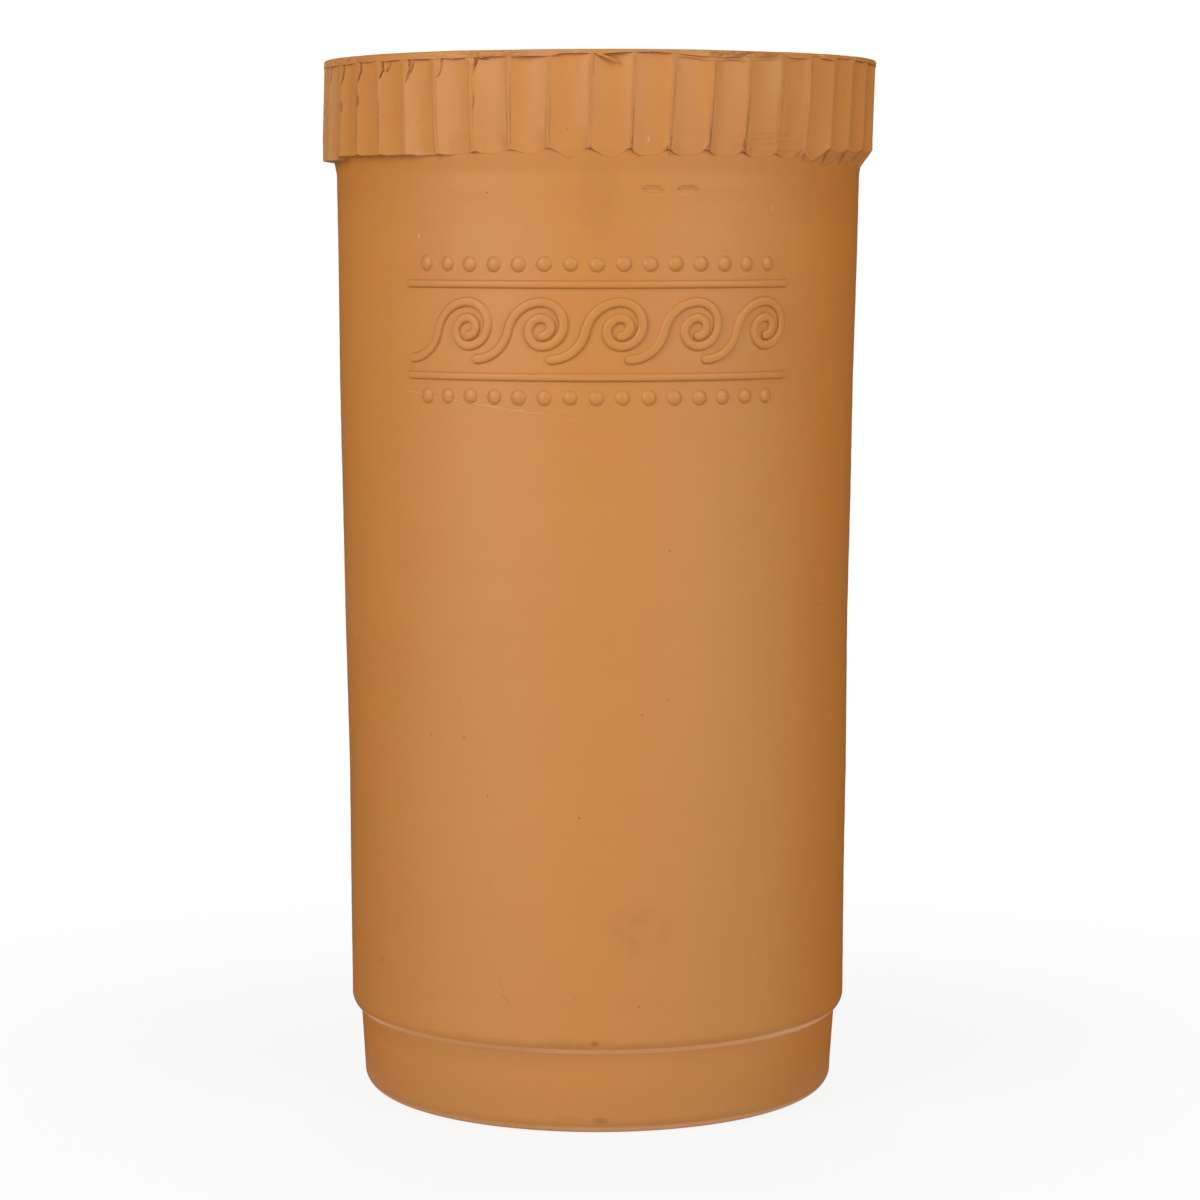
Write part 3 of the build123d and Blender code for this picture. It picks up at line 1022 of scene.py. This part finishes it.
def collar_grid(plan):
    """The points of the collar's face, in columns that run up it: some from each ridge to the edge of its
    torn clay, the others across the flute."""
    grid = SimpleNamespace()
    columns = np.where(plan.at_front, front_columns, back_columns)
    column = np.concatenate([np.arange(count) for count in columns])
    grid.flute = np.repeat(np.arange(flute_count), columns)
    grid.near_ridge = column <= edge_columns
    grid.width = (np.radians(plan.pitch) * ridge_radius)[grid.flute]
    grid.left_half = plan.half_width[grid.flute]
    grid.right_half = np.roll(plan.half_width, -1)[grid.flute]
    rise = graded((0,), (6, 0.16), (16.5, 0.9), (flute_height, 0.25))[:, None] / flute_height

    # How far torn clay reaches over the flute, from the lip and half way up the ridge
    even_height = flute_foot + flute_height * rise
    flap = plan.flap[grid.flute]
    hang = np.clip(1.9 * (1 - flute_height * (1 - rise) / plan.flap_height[grid.flute]), 0, 1)
    tear_length = (plan.tear_top - plan.tear_foot)[grid.flute]
    tear_share = np.clip((plan.tear_top[grid.flute] - even_height) / tear_length, 0, 1)
    overhang = flap * hang + plan.tear_reach[grid.flute] * np.sin(math.pi * tear_share)
    ragged = 0.18 * unevenness(plan.turn[grid.flute], even_height, 56, 60, 3)
    grid.overhang = overhang * (1 + ragged)
    grid.reach = grid.left_half + 0.08 + 0.27 * hang * (flap > 0) + grid.overhang

    # Places across the flute, in mm and as shares, then angles and heights
    near_share = np.clip(column / edge_columns, 0, 1)
    rest_share = np.clip((column - edge_columns) / (columns[grid.flute] - edge_columns), 0, 1)
    grid.from_ridge = grid.reach * eased(near_share) + (grid.width - grid.reach) * eased(rest_share)
    grid.across = grid.from_ridge / grid.width
    grid.upright = plan.turn[grid.flute] + np.degrees(grid.from_ridge / ridge_radius)
    grid.turn = grid.upright + np.degrees(ridge_slant(grid.upright) * (0.5 - rise) / ridge_radius)
    grid.place = from_front(grid.turn)
    lifted_edge = plan.edge_lift[grid.flute] * bell(grid.from_ridge - 0.8, 0.9)
    grid.lower = collar_lower_line(grid.upright, grid.across) + lifted_edge
    grid.upper = lip_lower_line(grid.turn)
    grid.height = grid.lower + rise * (grid.upper - grid.lower)
    grid.above_edge = grid.height - grid.lower
    grid.below_lip = grid.upper - grid.height
    return grid


def flute_hollow(plan, grid):
    """Depth of the hollows between the ridges, which run out onto the wall in tongues in front."""
    place = grid.place
    open_width = grid.width - grid.left_half - grid.right_half
    inner = np.clip((grid.from_ridge - grid.left_half) / open_width, 0, 1)
    hollow = plan.depth[grid.flute] * (1 - (2 * inner - 1) ** 2) ** flute_roundness
    hollow = hollow * (1 - side_shallowing * smooth_step(16, 46, np.abs(place)))
    hollow = hollow + 0.05 * unevenness(grid.turn, grid.height, 52, 70, 30) * (hollow > 0.3)
    run_out = left_run_out * smooth_step(-46, -22, place) + right_run_out * smooth_step(24, 40, place)
    run_out = run_out * smooth_step(56, 46, place) * smooth_step(16, -3, grid.above_edge)
    left_start = 0.25 + 0.20 * smooth_step(-14, -8, place)
    left_tongues = band(grid.across, left_start, left_start + 0.27, 0.90, 0.98) * band(place, -46, -32, 4, 8)
    right_tongues = band(grid.across, 0.10, 0.40, 0.85, 0.98) * band(place, 5, 10, 50, 56)
    right_depth = right_tongue_depth + far_tongue_depth * smooth_step(26, 34, place)
    smoothed = left_tongue_depth * left_tongues + right_depth * right_tongues
    return hollow + run_out + smoothed * smooth_step(6, 0, grid.above_edge)


def torn_clay(plan, grid, hollow):
    """Lays torn clay over the flutes up to its edge, with a slit beside it. Gives the new depth of the
    hollows, and 1 where torn clay lies and where the slit gets painted shade."""
    lift = plan.lift[grid.flute]
    torn_out = np.clip(grid.overhang / 0.15, 0, 1)
    covered = grid.near_ridge * torn_out
    lifted = np.maximum(0.05, (hollow - lift) * (grid.from_ridge / grid.reach) ** 1.5)
    hollow = covered * np.minimum(hollow, lifted) + (1 - covered) * hollow
    beside = grid.from_ridge - grid.reach
    opened = torn_out * smooth_step(0.1, 0.35, lift)
    slit = bell(beside - 0.16, 0.17) * opened
    slit_shade = bell(beside - 0.20, 0.25) * opened
    return hollow + slit_depth * slit, covered, slit_shade


def line_beside(plan, grid, ridge, first_mm, first_height, last_mm, last_height, half_width):
    """1 along a straight line on the collar, slimmer at its ends. Both ends are given as mm to the right of
    a ridge and height."""
    run = last_mm - first_mm
    drop = last_height - first_height
    x = np.radians(from_front(grid.upright - plan.turn[ridge])) * ridge_radius - first_mm
    y = grid.height - first_height
    along = np.clip((x * run + y * drop) / (run**2 + drop**2), 0, 1)
    away = np.hypot(x - along * run, y - along * drop)
    slim = half_width * (0.35 + 0.65 * np.sin(math.pi * np.clip(along, 0.02, 0.98)))
    return bell(away, slim)


def onto_wall(grid, hollow):
    """Radius of the collar's face, which goes in to the wall under the flutes: level in front, in a hollow
    bevel elsewhere. Also gives how far the bevel cuts in, 1 where there is one, and the way past its fold."""
    wall = wall_face(grid.height) + front_flare(grid.turn, grid.height) + wall_swell(grid.turn, grid.height)
    film = 0.02 + 0.10 * smooth_step(0.30, 0.08, grid.across) + 0.05 * smooth_step(0.80, 0.95, grid.across)
    proud = ridge_radius - hollow - wall - film
    softness = (0.10 + 0.30 * smooth_step(0, 3, grid.above_edge)) * smooth_step(1.6, 0.8, proud)
    radius = wall + film + (proud + np.hypot(proud, softness)) / 2
    bevel_top = bevel_height(grid.turn)
    bevelled = smooth_step(0.5, 3.0, bevel_top)
    ragged = 0.025 * unevenness(grid.turn, 0, 53, 120, 10) * bevelled
    share = np.clip(grid.above_edge / bevel_top + ragged, 0, 1)
    past_fold = grid.across - 0.95 + 0.13 * np.clip(228.5 - grid.height, 0, None)
    under_fold = smooth_step(0, 0.04, past_fold) * bevelled
    bevel = wall - 0.12 + (ridge_radius + 0.17 - wall) * share ** (1.3 + 1.2 * under_fold)
    return np.minimum(radius, bevel), radius - bevel, bevelled, past_fold


def collar_shade(grid, hollow, cut_in, bevelled, past_fold):
    """Painted shade along the ridges, under the lip, in the folds and creases of the bevel and under the
    lower edge.
    """
    place = grid.place
    left_side = smooth_step(-35, -50, place)
    off_ridge = np.minimum(grid.from_ridge, grid.width - grid.from_ridge)
    uneven = unevenness(grid.turn, grid.height, 54, 30, 12)
    on_ridge = bell(off_ridge, 0.5) * (0.20 + 0.08 * uneven + 0.06 * smooth_step(12, 22, place))
    under_lip = smooth_step(0.4, 0.0, grid.below_lip) * (hollow > 0.25) * (0.40 - 0.22 * left_side)
    crease = bell(cut_in - 0.10, 0.13) * bevelled
    outline = crease * (0.10 + 0.20 * unevenness(grid.turn, grid.height, 55, 40, 6))
    in_fold = 0.5 * bell(past_fold - 0.05, 0.10) * bevelled * smooth_step(228.6, 228.0, grid.height)
    underside = smooth_step(0.1, 0.5, cut_in) * (1 - bevelled)
    below = underside * (0.12 - 0.10 * left_side + 0.25 * unevenness(grid.turn, grid.height, 58, 60, 8))
    return np.maximum.reduce([on_ridge, under_lip, outline, in_fold, below])


def cut_collar(clay):
    plan = ridge_plan()
    grid = collar_grid(plan)
    hollow, covered, slit_shade = torn_clay(plan, grid, flute_hollow(plan, grid))

    # A ledge that the tool left under the lip on the right of the front
    ledge = band(grid.place, 12, 15, 40, 46)
    hollow = np.where(grid.below_lip < ledge_height, hollow * (1 - ledge_filling * ledge), hollow)

    # Cuts with painted shade in them, and dirt
    cut_shade = np.zeros(grid.height.shape)
    dirt = np.zeros(grid.height.shape)
    for *line, cut_depth, darkness in collar_cuts:
        cut = line_beside(plan, grid, *line)
        hollow = hollow + cut_depth * cut
        cut_shade = np.maximum(cut_shade, darkness * cut)
    for line in collar_dirt:
        dirt = np.maximum(dirt, line_beside(plan, grid, *line))

    radius, cut_in, bevelled, past_fold = onto_wall(grid, hollow)
    shade_and_dirt = collar_shade(grid, hollow, cut_in, bevelled, past_fold)
    shade_and_dirt = np.maximum.reduce([shade_and_dirt, cut_shade, slit_shade])
    torn = 0.12 * covered * (grid.from_ridge > grid.left_half) + 0.06 * smooth_step(0, 0.3, cut_in) * bevelled

    # The outline goes up the flutes, behind the lip and down the back against the wall
    back = np.full((1, grid.turn.shape[1]), collar_back_radius)
    none = np.zeros_like(back)
    turn = np.vstack([grid.turn, grid.turn[-1:], grid.turn[:1]])
    radius = np.vstack([radius, back, wall_face(grid.lower[:1]) - 0.4])
    height = np.vstack([grid.height, grid.upper[-1:], grid.lower[:1] + 0.15])
    marks = {
        "shade_and_dirt": np.vstack([shade_and_dirt, none, none + 1]),
        "torn": np.vstack([torn, none, none]),
        "dirt": np.vstack([dirt, none, none]),
    }
    rings = turned(turn, radius, height)
    add_turned("cut_collar", rings, clay, "fluted_collar", marks, sharp_angle=55)


# Ornament
def on_wall(along, up, rise):
    """Points on the wall, at distances round it from the front and heights, standing out by rise."""
    turn = np.degrees(along / ornament_radius)
    return turned(turn, wall_radius(up) + wall_swell(turn, up) + rise, up)


def raised_stroke(path, width, place, rise=relief_rise, taper=0.0):
    """A closed ridge along a path of (along, up) points, with a rounded top, a spread foot and round ends."""
    half = width / 2
    step_along = np.gradient(path, axis=0)
    ahead = step_along / np.linalg.norm(step_along, axis=1)[:, None]
    end_bend = np.radians([80, 62, 42, 20])
    centre = np.vstack([
        path[0] - np.outer(np.sin(end_bend) * half, ahead[0]),
        path,
        path[-1] + np.outer(np.sin(end_bend[::-1]) * half, ahead[-1]),
    ])
    rounds = len(end_bend)
    ahead = np.vstack([np.repeat(ahead[:1], rounds, axis=0), ahead, np.repeat(ahead[-1:], rounds, axis=0)])
    slim = np.concatenate([np.cos(end_bend), np.ones(len(path)), np.cos(end_bend[::-1])])
    slim = slim * (1 - taper * np.linspace(0, 1, len(slim)))
    aside = np.stack([-ahead[:, 1], ahead[:, 0]], axis=1)

    # The section: places across the half width and how far they stand out, down to the sunk underside
    across = np.array([1.28, 1.08, 0.97, 0.84, 0.45, 0, -0.45, -0.84, -0.97, -1.08, -1.28, -0.6, 0.6])
    stand = np.array([0, 0.12, 0.52, 0.90, 1, 1.02, 1, 0.90, 0.52, 0.12, 0, 0, 0]) * rise
    stand[[0, 10]] = -0.05
    stand[11:] = -relief_sink
    spread = half * slim[:, None] * across[None, :]
    along = centre[:, :1] + aside[:, :1] * spread
    up = centre[:, 1:] + aside[:, 1:] * spread
    soften = 0.55 + 0.45 * slim[:, None]
    return skin(place(along, up, np.where(stand > 0, stand * soften, stand)))


def half_turn(start, end, count):
    """Points of a half circle from start to end, clockwise."""
    middle = (start + end) / 2
    radius = np.linalg.norm(start - end) / 2
    bend = math.atan2(*(start - middle)[::-1]) - np.linspace(0, math.pi, count)
    return middle + radius * np.stack([np.cos(bend), np.sin(bend)], axis=1)


def wave_back(foot, crest):
    """The rise of a wave: two equal arcs, level at its foot and at its crest."""
    half_run, half_rise = (crest - foot) / 2
    radius = (half_run**2 + half_rise**2) / (2 * half_rise)
    bend = np.linspace(0, math.asin(half_run / radius), 16)
    arc = radius * np.stack([np.sin(bend), 1 - np.cos(bend)], axis=1)
    return np.vstack([foot + arc, (crest - arc)[::-1][1:]])


def add_relief(name, skins, clay, node):
    """Makes a piece of the ornament, with painted shade where a point hardly stands out of the wall."""
    parts = joined(skins)
    x, y, height = parts[0].T
    shifted = x - lean(height)
    turn = np.degrees(np.arctan2(shifted, -y))
    stands = np.hypot(shifted, y) - wall_radius(height) - wall_swell(turn, height)
    marks = {"shade_and_dirt": 0.45 * smooth_step(0.30, 0.0, stands), "inside": np.zeros(len(stands))}
    add_piece(name, parts, clay, [node], raised_sharp_angle, marks)


def raised_waves(clay):
    skins = []
    first_crest = wave_run + (wave_stroke - ornament_length) / 2
    for wave in range(wave_count):
        origin = np.array([first_crest + wave * wave_pitch, ornament_middle])
        crest = origin + (0, wave_rise / 2)
        foot = origin + (-wave_run, -wave_rise / 2)
        runs = [wave_back(foot, crest)]
        start = crest
        for turn in range(curl_half_turns):
            side = (-1) ** turn
            end = start - (0, side * 2 * curl_radius * curl_shrink**turn)
            runs.append(half_turn(start, end, 18 - 4 * turn)[1:])
            start = end
        skins.append(raised_stroke(np.vstack(runs), wave_stroke, on_wall))
    add_relief("raised_waves", skins, clay, "relief_waves")


def raised_fillets(clay):
    skins = []
    along = graded((-ornament_length / 2,), (ornament_length / 2, 1.0))
    for side in (-1, 1):
        path = np.stack([along, np.full_like(along, ornament_middle + side * fillet_offset)], axis=1)
        skins.append(raised_stroke(path, fillet_stroke, on_wall))
    add_relief("raised_fillets", skins, clay, "relief_fillets")


def raised_beads(clay):
    # The section from the sunk underside over the foot to the top
    reach = np.array([1.22, 1.05, 0.95, 0.82, 0.62, 0.36, 0.12]) * bead_diameter / 2
    stand = np.array([-0.05, 0.10, 0.34, 0.62, 0.84, 0.97, 1.0]) * relief_rise
    reach = np.concatenate([[0.5, 1.0], reach])[:, None]
    stand = np.concatenate([[-relief_sink, -relief_sink], stand])[:, None]
    bend = np.radians(np.arange(0, 360, 18))
    draw = np.random.default_rng(61)
    skins = []
    for side in (-1, 1):
        for bead in range(bead_count):
            aside, above = draw.normal(0, 0.07, 2)
            wide, tall = draw.uniform(0.94, 1.04, 2)
            middle = (bead - (bead_count - 1) / 2) * bead_pitch + aside
            along = middle + wide * reach * np.cos(bend)
            up = ornament_middle + side * bead_offset + above + tall * reach * np.sin(bend)
            skins.append(skin(on_wall(along, up, stand)))
    add_relief("raised_beads", skins, clay, "relief_beads")


# Burrs of clay that hang from the lip: both ends as (angle, height), width and rise
burrs = [
    ((-0.4, 248.9), (3.4, 247.0), 0.75, 0.55),
    ((-29.0, 248.7), (-23.5, 248.3), 0.55, 0.35),
    ((-27.2, 248.3), (-25.6, 246.9), 0.60, 0.30),
    ((-22.5, 248.9), (-17.5, 248.3), 0.50, 0.35),
]


def beside_lip(along, up, rise):
    """Points on the collar just under the lip, given as on_wall takes them."""
    return turned(np.degrees(along / ridge_radius), ridge_radius - 0.25 + rise, up)


def lip_burrs(clay):
    skins = []
    share = np.linspace(0, 1, 12)
    for (first_turn, first_height), (last_turn, last_height), width, rise in burrs:
        along = np.radians(first_turn + share * (last_turn - first_turn)) * ridge_radius
        up = first_height + share * (last_height - first_height) + 0.12 * np.sin(share * math.pi)
        path = np.stack([along, up], axis=1)
        skins.append(raised_stroke(path, width, beside_lip, rise, taper=0.55))
    add_piece("lip_burrs", joined(skins), clay, [], raised_sharp_angle, {})


# Studio
white = (1, 1, 1, 1)
floor_grey = (0.72, 0.72, 0.72, 1)
ambient_light = 0.22
gloss_light = 0.01  # what the clay's sheen shows beyond the white floor round the foot
floor_reach = 4.0
key_power = 10.3
fill_power = 8.2
back_power = 5.0
softbox_width = 0.7
softbox_height = 0.9
softbox_distance = 1.15
softbox_middle = 0.62  # height above the floor
softbox_tilt = 66  # degrees
camera_place = (0.0002, -0.872, 0.2115)
camera_dip = 6.03  # degrees below level
camera_lens = 107.3
camera_sensor = 36.0


def background_rays(bench):
    """1 for rays that show the background itself, and 1 for rays that show it in a sheen."""
    camera = bench.add("ShaderNodeLightPath")
    direct = camera.math("MAXIMUM", camera, camera.other("Is Transmission Ray"))
    return direct, camera.other("Is Glossy Ray")


def add_world():
    world = bpy.data.worlds.new("white_studio")
    bpy.context.scene.world = world
    world.use_nodes = True
    bench = Bench(world.node_tree)
    direct, sheen = background_rays(bench)
    strength = ambient_light + direct * (1 - ambient_light) + sheen * (gloss_light - ambient_light)
    surroundings = bench.add("ShaderNodeBackground", None, {"Color": white, "Strength": strength})
    bench.add("ShaderNodeOutputWorld", None, {"Surface": surroundings})


def add_floor():
    material, bench = new_material("pale_floor")
    lit = bench.add("ShaderNodeBsdfDiffuse", None, {"Color": floor_grey})
    metres = bench.add("ShaderNodeTexCoord", output=3)
    away = bench.add("ShaderNodeVectorMath", {"operation": "LENGTH"}, {0: metres}, output=1)
    direct, sheen = background_rays(bench)
    far_sheen = (gloss_light, gloss_light, gloss_light, 1)
    seen = bench.mix(sheen * (away.step(0.061, 0.080) * 0.4 + 0.6), white, far_sheen)
    shown = bench.add("ShaderNodeEmission", None, {"Color": seen, "Strength": 1.0})
    share = direct * (0.88 + away.step(0.07, 0.30) * 0.12) + sheen
    surface = bench.add("ShaderNodeMixShader", None, {0: share, 1: lit, 2: shown})
    bench.add("ShaderNodeOutputMaterial", None, {"Surface": surface})
    mesh = bpy.data.meshes.new("studio_floor")
    corners = [(-1, -1, 0), (1, -1, 0), (1, 1, 0), (-1, 1, 0)]
    mesh.from_pydata([[floor_reach * value for value in corner] for corner in corners], [], [(0, 1, 2, 3)])
    mesh.materials.append(material)
    put_in_scene("studio_floor", mesh)


def add_softbox(name, degrees, power):
    """A large soft light round the vessel, degrees to the right of the camera, turned to the vessel."""
    light = bpy.data.lights.new(name, "AREA")
    light.shape = "RECTANGLE"
    light.size = softbox_width
    light.size_y = softbox_height
    light.energy = power
    softbox = put_in_scene(name, light)
    aside = math.radians(degrees)
    x = softbox_distance * math.sin(aside)
    y = -softbox_distance * math.cos(aside)
    softbox.location = (x, y, softbox_middle)
    softbox.rotation_euler = (math.radians(softbox_tilt), 0, aside)


def add_camera():
    data = bpy.data.cameras.new("photo_camera")
    data.sensor_width = camera_sensor
    data.lens = camera_lens
    camera = put_in_scene("photo_camera", data)
    camera.location = camera_place
    camera.rotation_euler = (math.radians(90 - camera_dip), 0, 0)
    bpy.context.scene.camera = camera


body_clay = turned_clay()
collar_clay = cut_clay()
turned_wall(body_clay)
turned_foot(body_clay)
raised_waves(body_clay)
raised_fillets(body_clay)
raised_beads(body_clay)
cut_collar(collar_clay)
flat_lip(collar_clay)
lip_burrs(collar_clay)
add_world()
add_floor()
add_softbox("left_softbox", -46, key_power)
add_softbox("right_softbox", 46, fill_power)
add_softbox("back_softbox", 180, back_power)
add_camera()
bpy.context.scene.view_settings.view_transform = "Standard"
